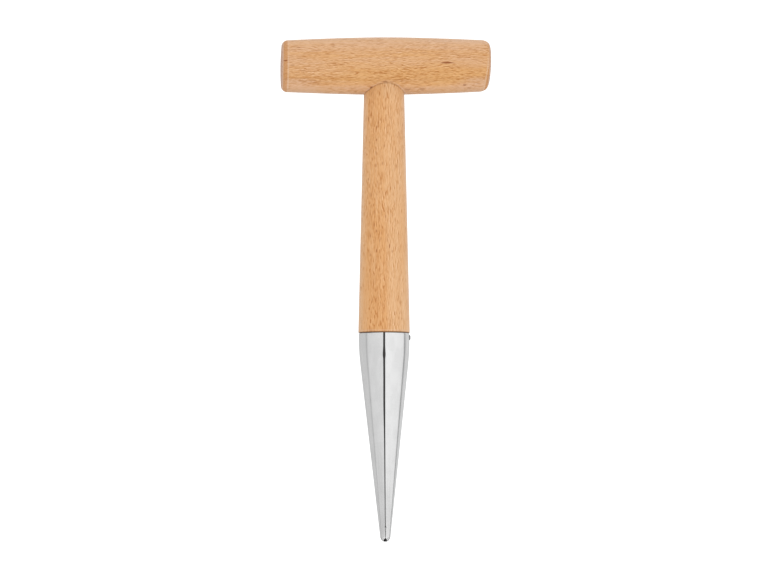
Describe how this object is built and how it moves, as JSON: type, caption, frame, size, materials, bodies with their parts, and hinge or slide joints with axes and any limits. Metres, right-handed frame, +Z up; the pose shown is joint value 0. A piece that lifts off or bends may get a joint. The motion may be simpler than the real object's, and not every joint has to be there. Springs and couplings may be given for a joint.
{
  "type": "dibber",
  "caption": "Hand dibber with a short turned wooden T grip, a tapered wooden stem and a pointed cone of rolled sheet steel for making planting holes in soil.",
  "frame": {"origin": "tip of the steel cone, where the tool enters the soil", "axes": "+Z up from the tip towards the grip, X along the crossbar, the open seam of the cone faces -Y"},
  "size_m": [0.1167, 0.0318, 0.2801],
  "materials": {
    "beech_bar": "sanded, thinly waxed beech, grain along the bar",
    "beech_stem": "sanded, thinly waxed beech, grain along the stem",
    "stainless_sheet": "fine satin stainless sheet",
    "dowel_wood": "fluted birch dowel, glued, hidden",
    "nail_steel": "drawn wire nail with a dull round head"
  },
  "bodies": {
    "root": {"crossbar": "beech_bar", "stem": "beech_stem", "steel_point": "stainless_sheet", "handle_dowel": "dowel_wood", "collar_nail": "nail_steel"}
  },
  "joints": []
}
